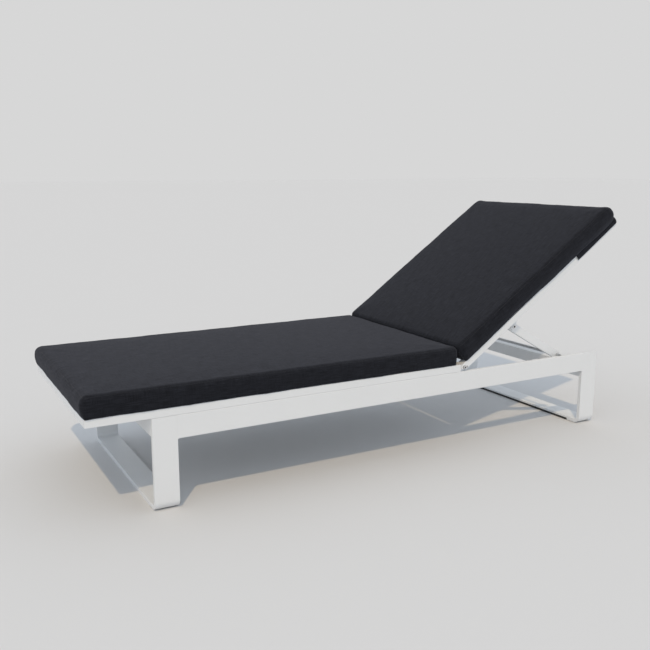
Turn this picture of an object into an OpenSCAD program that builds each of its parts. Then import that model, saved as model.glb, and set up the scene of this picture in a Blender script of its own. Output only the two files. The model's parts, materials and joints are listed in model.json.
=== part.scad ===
// Reclining sun and spa lounger: two flat-bar hoops and two rails carry a tube seat frame,
// a hinged back frame with a notched prop, and two loose cushions.
// X runs from the foot end to the head end, Y across, Z up from the floor. Left is the -Y side.

/* [Base] */
// Length of the base over both leg hoops
base_l = 1722; // [1660:1:1800]
// Width of the base over the rails
base_w = 700; // [640:1:760]
// Width of the flat bar that the hoops are bent from
leg_w = 73; // [62:1:80]
// Thickness of the hoop bar and of the rails
bar_t = 13; // [11:0.5:15]
// Outer radius of the bend at each foot corner
bend_r = 26; // [20:1:32]
// Height of the rails' top above the floor
rail_top = 277; // [250:1:300]
// Height of the rails
rail_h = 69; // [60:1:78]
// Wall of the hollow rails
rail_wall = 2.5; // [2:0.1:3]
// Radius of the weld fillet in each corner of rail and leg
fillet_r = 4; // [2:0.5:6]
// Height of the front cross bar
front_bar_h = 55; // [40:1:62]
// Height of the rear cross bar
rear_bar_h = 44; // [36:1:52]
// Distance from the rails' top down to the rear cross bar's top
rear_bar_drop = 48.5; // [44:0.5:60]
// Wall of the cross bars
cross_wall = 3; // [2:0.1:4]

/* [Glides] */
// Height of the nylon glide strips
glide_h = 8; // [7:0.1:9]
// Depth of the groove that holds a glide strip
glide_groove = 6.5; // [5:0.1:6.6]
// Distance from the leg's outer face to the end of a glide strip
glide_inset = 61; // [50:1:90]
// Number of screws in each glide strip
glide_screw_n = 4; // [2:1:6]

/* [Seat frame] */
// Overhang of the seat frame past the front hoop
foot_over = 182; // [140:1:220]
// Height of the frame tube
tube_h = 25; // [24:0.5:28]
// Width of the frame tube
tube_w = 30; // [28:0.5:34]
// Wall of the frame tube
tube_wall = 2.5; // [2:0.1:3]
// Radius of the long edges of the frame tube and the rails
tube_r = 2; // [1:0.1:2.4]
// Width of a slat
slat_w = 60; // [45:1:70]
// Thickness of a slat
slat_t = 6; // [5:0.5:7]
// Wall of the hollow slats
slat_wall = 1.5; // [1:0.1:2]
// Number of seat slats
seat_slat_n = 10; // [8:1:12]
// Number of back slats
back_slat_n = 6; // [4:1:7]
// Width of the ledge that the slats lie on
ledge_w = 15; // [12:0.5:17]
// Thickness of the ledge
ledge_t = 3; // [2:0.5:4]
// Number of tabs and bolts that hold the seat frame on each rail
tab_n = 3; // [2:1:4]

/* [Back] */
// Distance from the head end of the base to the recline pivot
pivot_back = 634; // [600:1:680]
// Slope of the back as it stands
back_angle = 34.35; // [30:0.05:40]
// Steepest slope of the back
back_angle_max = 60; // [55:1:65]
// Length of the back frame from its pivot
back_len = 828; // [780:1:860]
// Gap between the rails' top and the back frame when it lies flat
hinge_lift = 2; // [1.5:0.1:4]
// Radius of the recline pivot bolt
pivot_r = 3; // [2.5:0.1:3]

/* [Prop] */
// Place of the prop pivot along the back frame
prop_along = 255; // [235:1:270]
// Distance of the prop pivot below the back frame's centre line
prop_drop = 34; // [32:0.5:40]
// Length of the prop from its pivot to its foot rod
strut_len = 268; // [262:1:274]
// Slope of the prop as it stands, down from level
strut_angle = 29.5; // [27:0.1:31]
// Height of a prop strut
strut_h = 30; // [24:0.5:32]
// Thickness of a prop strut
strut_t = 12; // [9:0.5:14]
// Radius of the prop's pivot bolts
prop_bolt_r = 4; // [3:0.1:4]
// Radius of the small rivet beside each prop bolt
bracket_rivet_r = 3.5; // [2.5:0.1:4]
// Radius of the foot rod
rod_r = 5; // [4:0.1:5.5]
// Thickness of the notched racks
rack_t = 5; // [4:0.1:6]
// Height of the notched racks
rack_h = 32; // [28:0.5:40]
// Distance between two notches
notch_pitch = 48; // [40:1:52]
// Number of notches
notch_n = 5; // [4:1:5]

/* [Cushions] */
// Thickness of the seat cushion at its edges
cushion_t = 64; // [50:1:70]
// Thickness of the back cushion at its edges
back_cushion_t = 70; // [50:1:72]
// Rise of the crown in the middle of a cushion
crown = 5; // [2:0.5:8]
// Overhang of the seat cushion past the frame on each side
side_over = 6; // [4:0.5:8]
// Overhang of the back cushion past the frame on each side
back_side_over = 15; // [4:0.5:16]
// Depth by which the sides draw in between the corners
draw_in = 2; // [1:0.5:6]
// Depth by which the lower edge of the back cushion is tucked in to the frame
tuck_in = 9; // [1:0.5:12]
// Swell of the back cushion's top end
end_swell = 9; // [1:0.5:10]
// Radius of the cushions' rounded edges
edge_r = 14; // [10:0.5:18]
// Distance from the pivot to the lower end of the back cushion
back_cushion_start = 15; // [14:0.5:22]
// Distance from the end of the back frame to the top end of its cushion
back_cushion_short = 10; // [6:1:20]
// Distance from the recline pivot to the rear end of the seat cushion
seat_cushion_short = 33; // [28:1:50]
// Length of the hood's side panels
hood_l = 222; // [160:1:260]
// Height of the hood's side panels below the cushion
hood_h = 20; // [16:0.5:24]
// Thickness of the hood's fabric and padding
hood_t = 3; // [2:0.5:4]

/* [Hidden] */
$fn = 48;

// Overrun of every cut past the face that it opens
cut = 1;
// Clearance of a fixed round fit on each side
fit_gap = 0.02;
// Running clearance of a shaft in its bore, on the radius
run_gap = 0.05;
// Clearance between faces that move past each other, and round soft pieces
slide_gap = 0.3;

// Heights of the base
bar_z = glide_h - glide_groove;
floor_bar_top = bar_z + bar_t;
rail_z = rail_top - rail_h;
rail_in = base_w / 2 - bar_t;
rail_l = base_l - 2 * leg_w;
front_bar_z = rail_top - front_bar_h;
rear_bar_z = rail_top - rear_bar_drop - rear_bar_h;

// Glide screws: countersunk head sunk into the strip, shank up into the floor bar
glide_screw_r = 2.5;
glide_head_r = 5;
glide_head_h = 3;
glide_head_z = 1.2;
glide_screw_skin = 2;
glide_screw_top = floor_bar_top - glide_screw_skin;
glide_l = base_w - 2 * glide_inset;
glide_screw_edge = 40;

// Seat frame
seat_z = rail_top + tube_h / 2;
seat_top = rail_top + tube_h;
tube_in = base_w / 2 - tube_w;
pivot_x = base_l - pivot_back;
pivot_z = rail_top + hinge_lift + tube_h / 2;
nose_r = tube_h / 2;
nose_gap = 1;
seat_end = pivot_x - nose_r - nose_gap;
plug_cap = 3;
plug_l = 15;
plug_gap = 0.1;
seat_tube_end = seat_end - plug_cap;
plate_back = 68;
rear_bar_gap = 5;
plate_start = pivot_x - plate_back;
seat_rear_bar_x = plate_start - rear_bar_gap - tube_w;
slat_gap = 0.5;
slat_l = 2 * tube_in - 2 * slat_gap;

// Rivets that hold the slats on the ledges
rivet_r = 2.4;
rivet_head_r = 4.5;
rivet_head_h = 1.2;
rivet_up = 1.2;
rivet_side = slat_w / 4;
rivet_y = tube_in - ledge_w / 2;

// Tabs welded inside the rails, and the bolts through them into the frame
tab_l = 44;
tab_t = 5;
tab_bolt_r = 3;
tab_head_r = 5;
tab_head_h = 4;
tab_bolt_up = 8;
tab_y = (rail_in + tube_in) / 2;
tab_edge = 90;
tab_back = 150;
tab_first = leg_w + tab_edge;
tab_last = pivot_x - tab_back;
tab_pitch = (tab_last - tab_first) / (tab_n - 1);

// Recline hinge
plate_t = 6;
plate_r = 10.5;
plate_y = tube_in - slide_gap;
plate_bolt_r = 3;
plate_bolt_head_r = 5;
plate_bolt_head_h = 4;
plate_bolt_in = 4;
plate_bolt_edge = 10;
plate_bolt_pitch = 15;
bush_wall = 1.2;
bush_flange_r = 5.5;
bush_flange_t = 1;
pivot_head_r = 5;
pivot_head_h = 4;
nut_h = 6;
pivot_nut_r = 5.8;
nut_stickout = 1.2;
nose_cut = 6.3;
tongue_head = 7;
tongue_l = 40;
tongue_gap = 0.1;
tongue_rivet_r = 3;
tongue_rivet_shank_r = 1.5;
tongue_rivet_x = 10.5;
tongue_rivet_z = 6;
tongue_rivet_head = 1.2;
tongue_rivet_in = 12;
socket_share = 0.56;
socket_deep = 0.6;

// Back frame, in its own axes: X along it from the pivot, Z square to it
back_lower_x = 60;
hood_x = back_len + slide_gap - hood_l;
hood_end = hood_x + hood_l + hood_t;
hood_low = slide_gap - hood_h + tube_h / 2;
back_x_max = pivot_x + max(
    hood_end * cos(back_angle) - hood_low * sin(back_angle),
    back_len * cos(back_angle) + tube_h / 2 * sin(back_angle)
);
mid_x = (back_x_max - foot_over) / 2;

// Prop pivot: low bolt head beside the rail, bracket, spacer, strut, nut
prop_head_h = 4;
prop_head_r = 6.5;
prop_head_gap = 0.5;
bracket_t = 6;
bracket_r = 13;
bracket_foot = 30;
bracket_y = rail_in - prop_head_gap - prop_head_h;
bracket_rivet_x = 12.4;
bracket_rivet_z = 8.5;
bracket_rivet_h = 1.5;
bracket_rivet_shank_r = 2;
spacer_l = 12.2;
spacer_r = 7;
strut_y = bracket_y - bracket_t - spacer_l - slide_gap;
prop_bush_wall = 2;
prop_nut_r = 7.5;
prop_x = pivot_x + prop_along * cos(back_angle) + prop_drop * sin(back_angle);
prop_z = pivot_z + prop_along * sin(back_angle) - prop_drop * cos(back_angle);

// Foot rod and notched racks
rod_x = prop_x + strut_len * cos(strut_angle);
rod_z = prop_z - strut_len * sin(strut_angle);
rod_half = rail_in - rack_t - slide_gap;
collar_r = 8;
collar_w = 3;
notch_gap = 0.3;
ramp_l = 16;
rack_end = 24;
rack_top_drop = 0.5;
rack_corner = 8;
rack_screw_r = 2.5;
rack_screw_head_r = 4.2;
rack_screw_head_h = 2.2;
rack_screw_up = 10;
rack_screw_past = 3;
rack_head_notches = 1;
rack_x1 = rod_x + rack_head_notches * notch_pitch + rack_end;
rack_x0 = rod_x - (notch_n - 1 - rack_head_notches) * notch_pitch - rack_end;
rack_top = rail_top - rack_top_drop;
rack_z = rack_top - rack_h;

// Cushions
cushion_w = base_w + 2 * side_over;
back_cushion_w = base_w + 2 * back_side_over;
cushion_foot_in = 1;
seat_tuck_in = 2;
seat_end_swell = 0.5;
back_cushion_l = back_len - back_cushion_short - back_cushion_start;
seat_cushion_l = pivot_x - seat_cushion_short + foot_over - cushion_foot_in;
swing_gap = 1.5;
cushion_rings = 18;
top_steps = 8;
arc_steps = 3;

// Everything stands with its middle over the origin
module placed() {
    translate([-mid_x, 0, 0]) children();
}

// Axes of the back frame as it stands
module back_axes() {
    placed() translate([pivot_x, 0, pivot_z]) rotate([0, -back_angle, 0]) children();
}

// Axes of the prop as it stands: X from its pivot to its foot rod
module prop_axes() {
    placed() translate([prop_x, 0, prop_z]) rotate([0, strut_angle, 0]) children();
}

// A profile in X and Z made solid from y to y + t
module slab(y, t) {
    translate([0, y + t, 0]) rotate([90, 0, 0]) linear_extrude(height = t) children();
}

// A profile in Y and Z made solid along X from x = 0 to l
module x_bar(l) {
    rotate([90, 0, 90]) linear_extrude(height = l) children();
}

// A round bar along Y from y0 to y1
module y_rod(r, y0, y1) {
    translate([0, y0, 0]) rotate([-90, 0, 0]) cylinder(r = r, h = y1 - y0);
}

// The piece and its mirror image on the other side
module both_sides() {
    children();
    mirror([0, 1, 0]) children();
}

module round_rect(x, z, l, h, r) {
    translate([x + r, z]) square([l - 2 * r, h]);
    translate([x, z + r]) square([l, h - 2 * r]);
    for (cx = [x + r, x + l - r], cz = [z + r, z + h - r]) translate([cx, cz]) circle(r = r);
}

// Hoops: one flat bar bent down, across the floor and up again
module low_rounded(half, z, top, r) {
    translate([-half + r, z]) square([2 * (half - r), top - z]);
    translate([-half, z + r]) square([2 * half, top - z - r]);
    for (side = [-1, 1]) translate([side * (half - r), z + r]) circle(r = r);
}

module hoop_profile() {
    difference() {
        low_rounded(base_w / 2, bar_z, rail_top, bend_r);
        low_rounded(rail_in, floor_bar_top, rail_top + cut, bend_r - bar_t);
        translate([-glide_l / 2, bar_z - cut]) square([glide_l, glide_groove + cut]);
    }
}

module glide_screw_places(x) {
    span = glide_l - 2 * glide_screw_edge;
    for (i = [0 : glide_screw_n - 1])
        translate([x + leg_w / 2, -span / 2 + i * span / (glide_screw_n - 1), 0]) children();
}

module hoop(x) {
    color("white") placed() difference() {
        translate([x, 0, 0]) rotate([90, 0, 90]) linear_extrude(height = leg_w) hoop_profile();
        glide_screw_places(x) cylinder(r = glide_screw_r + fit_gap, h = glide_screw_top + fit_gap);
    }
}

module front_hoop() {
    hoop(0);
}

module rear_hoop() {
    hoop(base_l - leg_w);
}

// Rails: hollow extrusions welded between the legs, with a fillet in each lower corner
module rail_fillets() {
    for (end = [0, 1]) translate([end * rail_l, 0]) mirror([end, 0]) difference() {
        translate([0, -fillet_r]) square([fillet_r, fillet_r + tube_r]);
        translate([fillet_r, -fillet_r]) circle(r = fillet_r);
    }
}

module rack_screw_places() {
    for (i = [0 : notch_n - 2])
        translate([rod_x + (rack_head_notches - i - 1 / 2) * notch_pitch, 0, rack_z + rack_screw_up])
            children();
}

module side_rail() {
    color("white") placed() difference() {
        union() {
            translate([leg_w, -base_w / 2, rail_z]) x_bar(rail_l) round_rect(0, 0, bar_t, rail_h, tube_r);
            translate([leg_w, 0, rail_z]) slab(-base_w / 2, bar_t) rail_fillets();
        }
        translate([leg_w - cut, -base_w / 2 + rail_wall, rail_z + rail_wall])
            cube([rail_l + 2 * cut, bar_t - 2 * rail_wall, rail_h - 2 * rail_wall]);
        rack_screw_places() y_rod(rack_screw_r + fit_gap, -rail_in - rail_wall - cut, -rail_in + cut);
    }
}

module side_rail_left() {
    side_rail();
}

module side_rail_right() {
    mirror([0, 1, 0]) side_rail();
}

// Cross bars: box tubes between the legs
module cross_bar(x, z, h) {
    color("white") placed() translate([x, -rail_in, z]) difference() {
        cube([leg_w, 2 * rail_in, h]);
        translate([cross_wall, -cut, cross_wall])
            cube([leg_w - 2 * cross_wall, 2 * (rail_in + cut), h - 2 * cross_wall]);
    }
}

module front_cross_bar() {
    cross_bar(0, front_bar_z, front_bar_h);
}

module rear_cross_bar() {
    cross_bar(base_l - leg_w, rear_bar_z, rear_bar_h);
}

// Glide strips: let into the floor bars, screwed from below
module glide(x, shade) {
    color(shade) placed() difference() {
        translate([x, -glide_l / 2, 0]) cube([leg_w, glide_l, glide_h]);
        glide_screw_places(x) {
            translate([0, 0, -cut]) cylinder(r = glide_screw_r + fit_gap, h = glide_h + 2 * cut);
            translate([0, 0, -cut]) cylinder(r = glide_head_r + fit_gap, h = glide_head_z + glide_head_h + cut);
        }
    }
}

module front_glide() {
    glide(0, "white");
}

module rear_glide() {
    glide(base_l - leg_w, "dimgray");
}

module glide_screws() {
    color("silver") placed() for (x = [0, base_l - leg_w]) glide_screw_places(x) {
        translate([0, 0, glide_head_z]) cylinder(r = glide_head_r, h = glide_head_h);
        translate([0, 0, glide_head_z]) cylinder(r = glide_screw_r, h = glide_screw_top - glide_head_z);
    }
}

// Frame tube: outside with rounded long edges, height centred on z = 0, and the bore in it
module tube_outside() {
    round_rect(0, -tube_h / 2, tube_w, tube_h, tube_r);
}

module tube_bore() {
    translate([tube_wall, -tube_h / 2 + tube_wall]) square([tube_w - 2 * tube_wall, tube_h - 2 * tube_wall]);
}

// What a mitre takes off a tube along X whose outer face is at y = 0
module mitre_waste() {
    translate([0, 0, -tube_h]) linear_extrude(height = 2 * tube_h)
        polygon([[-cut, -cut], [tube_w + cut, tube_w + cut], [-cut, tube_w + cut]]);
}

// Frame tube along X with one mitred end at x = 0
module mitred_tube(l) {
    difference() {
        x_bar(l) tube_outside();
        translate([-cut, 0, 0]) x_bar(l + 2 * cut) tube_bore();
        mitre_waste();
    }
}

// Frame tube along Y with both ends mitred and its outer face at x = 0
module end_tube() {
    difference() {
        slab(-base_w / 2, base_w) tube_outside();
        slab(-base_w / 2 - cut, base_w + 2 * cut) tube_bore();
        both_sides() translate([0, -base_w / 2, 0]) mirror([1, -1, 0]) mitre_waste();
    }
}

// Straight tube between the side bars
module inner_tube() {
    difference() {
        slab(-tube_in, 2 * tube_in) tube_outside();
        slab(-tube_in - cut, 2 * (tube_in + cut)) tube_bore();
    }
}

// Seat frame
module tab_places() {
    for (i = [0 : tab_n - 1]) translate([tab_first + i * tab_pitch, -tab_y, 0]) children();
}

module plate_bolt_places() {
    for (i = [0, 1])
        translate([plate_start + plate_bolt_edge + i * plate_bolt_pitch, 0, pivot_z]) children();
}

module seat_side_bar() {
    color("white") placed() difference() {
        translate([-foot_over, -base_w / 2, seat_z]) mitred_tube(seat_tube_end + foot_over);
        tab_places() translate([0, 0, rail_top - cut])
            cylinder(r = tab_bolt_r + fit_gap, h = tube_wall + 2 * cut);
        plate_bolt_places() y_rod(plate_bolt_r + fit_gap, -tube_in - tube_wall - cut, -tube_in + cut);
    }
}

module seat_side_bar_left() {
    seat_side_bar();
}

module seat_side_bar_right() {
    mirror([0, 1, 0]) seat_side_bar();
}

module seat_foot_bar() {
    color("white") placed() translate([-foot_over, 0, seat_z]) end_tube();
}

module seat_rear_bar() {
    color("white") placed() translate([seat_rear_bar_x, 0, seat_z]) inner_tube();
}

// Slats on their ledges, in a bay from x0 to x1, with the frame's top at z
module slat_places(x0, x1, n) {
    gap = (x1 - x0 - n * slat_w) / (n + 1);
    for (i = [0 : n - 1]) translate([x0 + gap + i * (slat_w + gap), 0, 0]) children();
}

module rivet_places(x0, x1, n) {
    slat_places(x0, x1, n) for (x = [rivet_side, slat_w - rivet_side], side = [-1, 1])
        translate([x, side * rivet_y, 0]) children();
}

module slats(x0, x1, n, z) {
    difference() {
        slat_places(x0, x1, n) translate([0, -slat_l / 2, z - slat_t]) cube([slat_w, slat_l, slat_t]);
        slat_places(x0, x1, n) translate([slat_wall, -slat_l / 2 - cut, z - slat_t + slat_wall])
            cube([slat_w - 2 * slat_wall, slat_l + 2 * cut, slat_t - 2 * slat_wall]);
        rivet_places(x0, x1, n) translate([0, 0, z - slat_t - cut])
            cylinder(r = rivet_r + fit_gap, h = slat_wall + 2 * cut);
    }
}

module ledge(x0, x1, n, z) {
    difference() {
        translate([x0, -tube_in, z - slat_t - ledge_t]) cube([x1 - x0, ledge_w, ledge_t]);
        rivet_places(x0, x1, n) translate([0, 0, z - slat_t - ledge_t - cut])
            cylinder(r = rivet_r + fit_gap, h = ledge_t + 2 * cut);
    }
}

module slat_rivets(x0, x1, n, z) {
    low = z - slat_t - ledge_t;
    rivet_places(x0, x1, n) {
        translate([0, 0, low - rivet_head_h]) cylinder(r = rivet_head_r, h = rivet_head_h);
        translate([0, 0, low - rivet_head_h])
            cylinder(r = rivet_r, h = rivet_head_h + ledge_t + slat_wall + rivet_up);
    }
}

seat_bay = [tube_w - foot_over, seat_rear_bar_x];
back_bay = [back_lower_x + tube_w, back_len - tube_w];

module seat_ledge_left() {
    color("white") placed() ledge(seat_bay[0], seat_bay[1], seat_slat_n, seat_top);
}

module seat_ledge_right() {
    mirror([0, 1, 0]) seat_ledge_left();
}

module seat_slats() {
    color("white") placed() slats(seat_bay[0], seat_bay[1], seat_slat_n, seat_top);
}

module seat_slat_rivets() {
    color("silver") placed() slat_rivets(seat_bay[0], seat_bay[1], seat_slat_n, seat_top);
}

module seat_frame_tabs() {
    color("white") placed() both_sides() difference() {
        tab_places() translate([-tab_l / 2, tab_y - rail_in, rail_top - tab_t])
            cube([tab_l, rail_in - tube_in, tab_t]);
        tab_places() translate([0, 0, rail_top - tab_t - cut])
            cylinder(r = tab_bolt_r + fit_gap, h = tab_t + 2 * cut);
    }
}

module seat_frame_bolts() {
    color("silver") placed() both_sides() tab_places() {
        translate([0, 0, rail_top - tab_t - tab_head_h]) cylinder(r = tab_head_r, h = tab_head_h);
        translate([0, 0, rail_top - tab_t - tab_head_h])
            cylinder(r = tab_bolt_r, h = tab_head_h + tab_t + tab_bolt_up);
    }
}

module seat_bar_plugs() {
    spigot_w = tube_w - 2 * (tube_wall + plug_gap);
    spigot_h = tube_h - 2 * (tube_wall + plug_gap);
    color("white") placed() both_sides() translate([seat_tube_end, -base_w / 2, seat_z]) {
        x_bar(plug_cap) tube_outside();
        translate([-plug_l, (tube_w - spigot_w) / 2, -spigot_h / 2]) cube([plug_l + plug_cap, spigot_w, spigot_h]);
    }
}

// Recline hinge: a plate inside each seat side bar carries the pivot bolt
module hinge_plate() {
    color("white") placed() difference() {
        slab(-plate_y, plate_t) {
            translate([plate_start, pivot_z - plate_r]) square([plate_back, 2 * plate_r]);
            translate([pivot_x, pivot_z]) circle(r = plate_r);
        }
        translate([pivot_x, 0, pivot_z]) y_rod(pivot_r + fit_gap, -plate_y - cut, -plate_y + plate_t + cut);
        plate_bolt_places() y_rod(plate_bolt_r + fit_gap, -plate_y - cut, -plate_y + plate_t + cut);
    }
}

module hinge_plate_left() {
    hinge_plate();
}

module hinge_plate_right() {
    mirror([0, 1, 0]) hinge_plate();
}

module hinge_plate_bolts() {
    head_y = -plate_y + plate_t;
    color("silver") placed() both_sides() plate_bolt_places() {
        y_rod(plate_bolt_head_r, head_y, head_y + plate_bolt_head_h);
        y_rod(plate_bolt_r, -tube_in - tube_wall - plate_bolt_in, head_y + plate_bolt_head_h);
    }
}

// A bolt along Y: head from y outwards, hexagon socket in it, shank inwards
module y_bolt(r, head_r, head_h, y, end) {
    difference() {
        union() {
            y_rod(head_r, y - head_h, y);
            y_rod(r, y - head_h * (1 - socket_deep), end);
        }
        translate([0, y - head_h - cut, 0]) rotate([-90, 0, 0])
            cylinder(r = head_r * socket_share, h = head_h * socket_deep + cut, $fn = 6);
    }
}

module pivot_bolt() {
    nut_end = -plate_y + plate_t + nut_h + nut_stickout;
    color("silver") placed() translate([pivot_x, 0, pivot_z])
        y_bolt(pivot_r, pivot_head_r, pivot_head_h, -base_w / 2 - bush_flange_t - slide_gap, nut_end);
}

module pivot_bolt_left() {
    pivot_bolt();
}

module pivot_bolt_right() {
    mirror([0, 1, 0]) pivot_bolt();
}

module y_nut(r, bore, y) {
    difference() {
        translate([0, y, 0]) rotate([-90, 0, 0]) cylinder(r = r, h = nut_h, $fn = 6);
        y_rod(bore + fit_gap, y - cut, y + nut_h + cut);
    }
}

module pivot_nuts() {
    color("silver") placed() both_sides() translate([pivot_x, 0, pivot_z])
        y_nut(pivot_nut_r, pivot_r, -plate_y + plate_t);
}

// Notched racks inside the rails: a seat for the foot rod and a ramp up to it from the foot end
module notch() {
    seat_r = rod_r + notch_gap;
    circle(r = seat_r);
    polygon([[0, -seat_r], [0, rack_h], [-ramp_l, rack_h], [-ramp_l, rack_top - rod_z]]);
}

module rack_profile() {
    difference() {
        round_rect(rack_x0, rack_z, rack_x1 - rack_x0, rack_h + rack_corner, rack_corner);
        translate([rack_x0 - cut, rack_top]) square([rack_x1 - rack_x0 + 2 * cut, 2 * rack_corner]);
        for (i = [0 : notch_n - 1])
            translate([rod_x + (rack_head_notches - i) * notch_pitch, rod_z]) notch();
    }
}

module notch_rack() {
    color("white") placed() difference() {
        slab(-rail_in, rack_t) rack_profile();
        rack_screw_places() y_rod(rack_screw_r + fit_gap, -rail_in - cut, -rail_in + rack_t + cut);
    }
}

module notch_rack_left() {
    notch_rack();
}

module notch_rack_right() {
    mirror([0, 1, 0]) notch_rack();
}

module rack_screws() {
    face = -rail_in + rack_t;
    color("silver") placed() both_sides() rack_screw_places() {
        y_rod(rack_screw_head_r, face, face + rack_screw_head_h);
        y_rod(rack_screw_r, -rail_in - rail_wall - rack_screw_past, face + rack_screw_head_h);
    }
}

// Cushions: cross-sections across Y, stacked along X, with a crown, rounded edges, sides that draw in
// between the corners and lean in to the bottom, and a swollen top end
function arc(cy, cz, r, from) =
    [for (k = [1 : arc_steps]) let (a = from + 90 * k / (arc_steps + 1)) [cy + r * cos(a), cz + r * sin(a)]];

// One cross-section: half width hw, half thickness hh, edge radius r, crown rise c, and a half width
// that is less by tuck at the bottom
function section(hw, hh, r, c, tuck) = let (low = hw - tuck) concat(
    [for (k = [0 : top_steps]) let (s = 1 - 2 * k / top_steps) [(hw - r) * s, hh + c * (1 - s * s)]],
    arc(r - hw, hh - r, r, 90),
    [[-hw, hh - r], [-low, r - hh]],
    arc(r - low, r - hh, r, 180),
    [[r - low, -hh], [0, -hh], [low - r, -hh]],
    arc(low - r, r - hh, r, 270),
    [[low, r - hh], [hw, hh - r]],
    arc(hw - r, hh - r, r, 0)
);

// Stations along the length: a quarter round at each end, drawn out by the swell, and even steps between
function end_turn(k) = 90 * k / arc_steps;
function end_run(k, swell) = (edge_r + swell) * (1 - cos(end_turn(k))) - swell;
function end_inset(k, swell) = (edge_r + swell / 2) * (1 - sin(end_turn(k)));

function stations(l, swell) = concat(
    [for (k = [0 : arc_steps]) [end_run(k, 0), end_inset(k, 0)]],
    [for (k = [1 : cushion_rings]) [edge_r + (l - 2 * edge_r) * k / (cushion_rings + 1), 0]],
    [for (k = [arc_steps : -1 : 0]) [l - end_run(k, swell), end_inset(k, swell)]]
);

function cushion_ring(x, inset, l, w, t, tuck) =
    let (
        u = min(x / l, 1),
        hw = w / 2 - inset - draw_in * sin(180 * u),
        r = max(edge_r - inset, edge_r / 4),
        rise = crown * (1 - pow(2 * u - 1, 4))
    )
    [for (p = section(hw, t / 2 - inset, r, rise, tuck)) [x, p[0], p[1]]];

module cushion(l, w, t, tuck, swell) {
    rings = [for (s = stations(l, swell)) cushion_ring(s[0], s[1], l, w, t, tuck)];
    n = len(rings[0]);
    m = len(rings);
    hub = top_steps + arc_steps + 1;
    points = [for (ring = rings, p = ring) p];
    walls = [for (i = [0 : m - 2], k = [0 : n - 1]) let (j = (k + 1) % n)
        each [[i * n + k, i * n + j, (i + 1) * n + j], [i * n + k, (i + 1) * n + j, (i + 1) * n + k]]];
    first = [for (k = [1 : n - 2]) [hub, (hub + k + 1) % n, (hub + k) % n]];
    last = [for (t = first) [for (i = [0, 2, 1]) (m - 1) * n + t[i]]];
    polyhedron(points = points, faces = concat(walls, first, last), convexity = 4);
}

// The seat cushion leaves room for the corner of the back cushion at its steepest
module seat_cushion() {
    block_l = cushion_t + crown + tube_h + cushion_t;
    color("#33363b") placed() difference() {
        translate([cushion_foot_in - foot_over, 0, seat_top + slide_gap + cushion_t / 2])
            cushion(seat_cushion_l, cushion_w, cushion_t, seat_tuck_in, seat_end_swell);
        translate([pivot_x, 0, pivot_z]) rotate([0, -back_angle_max, 0])
            translate([back_cushion_start - swing_gap, -cushion_w, tube_h / 2])
            cube([block_l, 2 * cushion_w, slide_gap + back_cushion_t + swing_gap]);
    }
}

// Back frame
module back_side_bar() {
    color("white") back_axes() difference() {
        translate([back_len, -base_w / 2, 0]) mirror([1, 0, 0]) mitred_tube(back_len - tongue_head);
        translate([tongue_rivet_x, 0, -tongue_rivet_z])
            y_rod(tongue_rivet_shank_r + fit_gap, -base_w / 2 - cut, -base_w / 2 + tube_wall + cut);
    }
}

module back_side_bar_left() {
    back_side_bar();
}

module back_side_bar_right() {
    mirror([0, 1, 0]) back_side_bar();
}

module back_top_bar() {
    color("white") back_axes() translate([back_len, 0, 0]) mirror([1, 0, 0]) end_tube();
}

module back_lower_bar() {
    color("white") back_axes() translate([back_lower_x, 0, 0]) inner_tube();
}

// Hinge tongues: a nose round the pivot, cut level over the rail, and a spigot in the tube
module tongue_nose() {
    difference() {
        union() {
            circle(r = nose_r);
            translate([0, -nose_r]) square([tongue_head, 2 * nose_r]);
        }
        rotate([0, 0, -back_angle]) translate([-tube_h, -tube_h - nose_cut]) square([2 * tube_h, tube_h]);
        translate([tongue_head, -tube_h]) square([tube_h, 2 * tube_h]);
    }
}

module hinge_tongue() {
    spigot_w = tube_w - 2 * (tube_wall + tongue_gap);
    spigot_h = tube_h - 2 * (tube_wall + tongue_gap);
    color("white") back_axes() difference() {
        union() {
            slab(-base_w / 2, tube_w) tongue_nose();
            translate([tongue_head - cut, -base_w / 2 + (tube_w - spigot_w) / 2, -spigot_h / 2])
                cube([tongue_l + cut, spigot_w, spigot_h]);
        }
        y_rod(pivot_r + run_gap + bush_wall + fit_gap, -base_w / 2 - cut, -tube_in + cut);
        translate([tongue_rivet_x, 0, -tongue_rivet_z])
            y_rod(tongue_rivet_shank_r + fit_gap, -base_w / 2 - cut, -base_w / 2 + tongue_rivet_in);
    }
}

module hinge_tongue_left() {
    hinge_tongue();
}

module hinge_tongue_right() {
    mirror([0, 1, 0]) hinge_tongue();
}

module tongue_rivets() {
    color("gray") back_axes() both_sides() translate([tongue_rivet_x, 0, -tongue_rivet_z]) {
        y_rod(tongue_rivet_r, -base_w / 2 - tongue_rivet_head, -base_w / 2);
        y_rod(tongue_rivet_shank_r, -base_w / 2 - tongue_rivet_head, -base_w / 2 + tongue_rivet_in);
    }
}

module pivot_bushes() {
    outer = pivot_r + run_gap + bush_wall;
    color("dimgray") back_axes() both_sides() difference() {
        union() {
            y_rod(outer, -base_w / 2, -tube_in);
            y_rod(bush_flange_r, -base_w / 2 - bush_flange_t, -base_w / 2);
        }
        y_rod(pivot_r + run_gap, -base_w / 2 - bush_flange_t - cut, -tube_in + cut);
    }
}

module back_ledge_left() {
    color("white") back_axes() ledge(back_bay[0], back_bay[1], back_slat_n, tube_h / 2);
}

module back_ledge_right() {
    mirror([0, 1, 0]) back_ledge_left();
}

module back_slats() {
    color("white") back_axes() slats(back_bay[0], back_bay[1], back_slat_n, tube_h / 2);
}

module back_slat_rivets() {
    color("silver") back_axes() slat_rivets(back_bay[0], back_bay[1], back_slat_n, tube_h / 2);
}

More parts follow.
